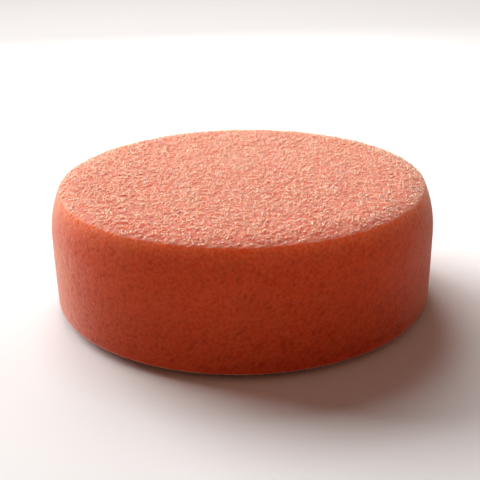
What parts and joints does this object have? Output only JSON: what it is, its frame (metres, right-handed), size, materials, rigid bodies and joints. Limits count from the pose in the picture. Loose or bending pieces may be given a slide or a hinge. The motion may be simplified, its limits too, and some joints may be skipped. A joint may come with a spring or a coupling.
{
  "type": "foam polishing pad",
  "caption": "Round open-cell foam polishing pad with a flat working face whose edge falls away gently, a slightly barrelled side wall and a hook-and-loop backing underneath.",
  "frame": {"origin": "centre of the loop face underneath, where the pad meets the machine's backing plate", "axes": "+Z along the pad's axis, from the loop face to the working face; the pad is round, so +X and +Y are free"},
  "size_m": [0.08, 0.08, 0.0267],
  "materials": {
    "foam": "matte",
    "adhesive": "satin",
    "backing_knit": "matte",
    "loops": "matte"
  },
  "bodies": {
    "root": {"foam_disc": "foam", "adhesive_film": "adhesive", "backing_cloth": "backing_knit", "loop_pile": "loops"}
  },
  "joints": []
}
